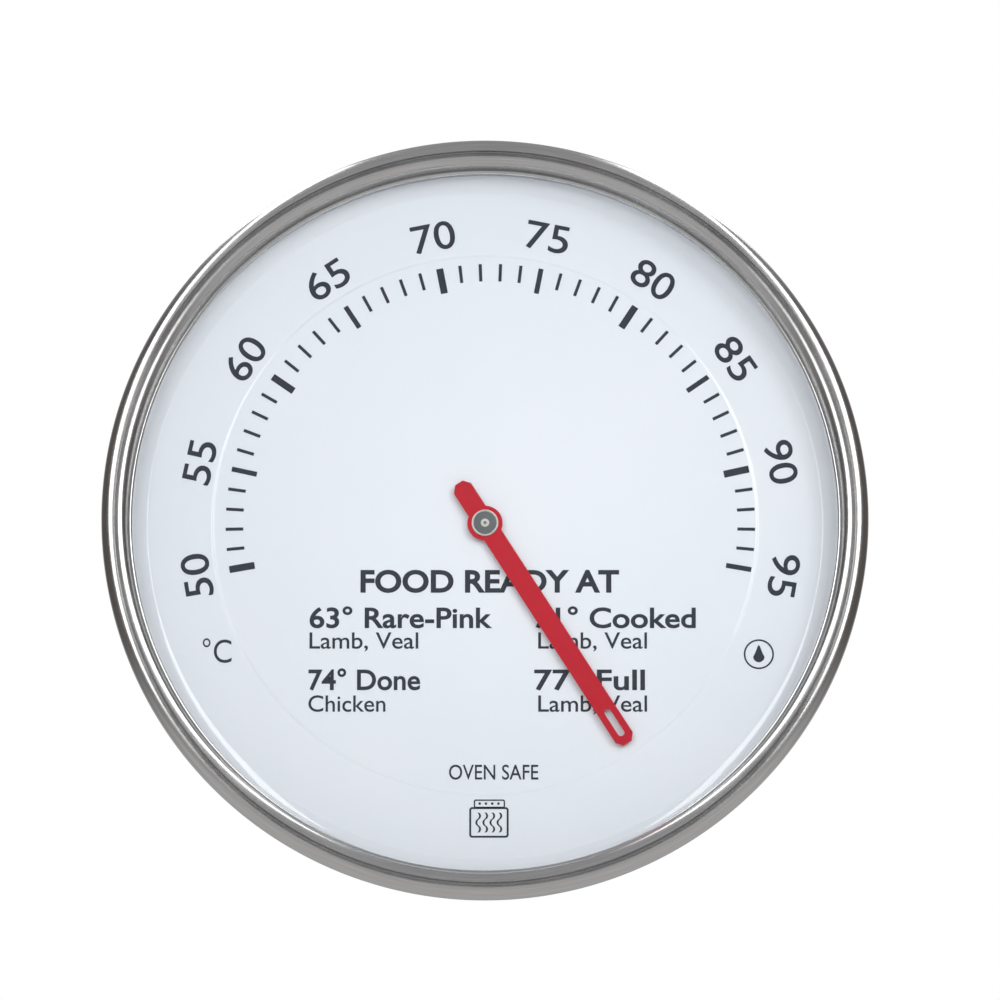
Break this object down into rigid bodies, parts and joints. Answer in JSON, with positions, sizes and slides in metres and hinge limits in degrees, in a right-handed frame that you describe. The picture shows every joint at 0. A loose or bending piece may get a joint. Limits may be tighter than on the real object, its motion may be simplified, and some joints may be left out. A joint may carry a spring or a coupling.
{
  "type": "meat thermometer",
  "caption": "Round dial meat thermometer with a steel bezel, glass lens, turning red pointer and a pointed stem at right angles to the dial.",
  "frame": {"origin": "stem shoulder: the point on the stem's axis where the stem leaves the ferrule behind the head", "axes": "+Y along the stem towards its point, -Y the way the dial faces, +Z towards 12 o'clock on the dial"},
  "size_m": [0.076, 0.1355, 0.076],
  "materials": {
    "bezel_steel": "rolled stainless steel, polished with a fine grain",
    "case_steel": "drawn stainless steel, spun satin grain",
    "stem_steel": "drawn stainless tube, fine ground",
    "lens_glass": "clear flat glass",
    "silicone": "grey silicone rubber",
    "dial_enamel": "glossy cool white enamel with dark slate print",
    "pointer_red": "satin red enamel on sheet",
    "hub_steel": "turned steel, fine turning marks",
    "bush_brass": "turned brass",
    "bimetal": "rolled bimetal strip"
  },
  "bodies": {
    "housing": {"bezel_ring": "bezel_steel", "glass_lens": "lens_glass", "lens_gasket": "silicone", "dial_plate": "dial_enamel", "rear_case": "case_steel", "seal_washer": "silicone", "stem_ferrule": "stem_steel", "ferrule_nut": "hub_steel", "stem_tube": "stem_steel", "stem_tip": "stem_steel", "upper_guide_bush": "bush_brass", "middle_guide_bush": "bush_brass", "lower_guide_bush": "bush_brass", "bimetal_coil": "bimetal", "coil_anchor": "bush_brass"},
    "pointer": {"coil_collar": "bush_brass", "thrust_collar": "bush_brass", "spindle": "hub_steel", "pointer_blade": "pointer_red", "pointer_hub": "hub_steel"}
  },
  "joints": [
    {"name": "pointer_turn", "type": "hinge", "parent": "housing", "child": "pointer", "pos_m": [0, 0, 0], "axis": [0, 1, 0], "range_deg": [-109.2, 334.8], "stiffness_Nm_per_rad": 0.00023, "deforming": ["bimetal_coil"]}
  ]
}
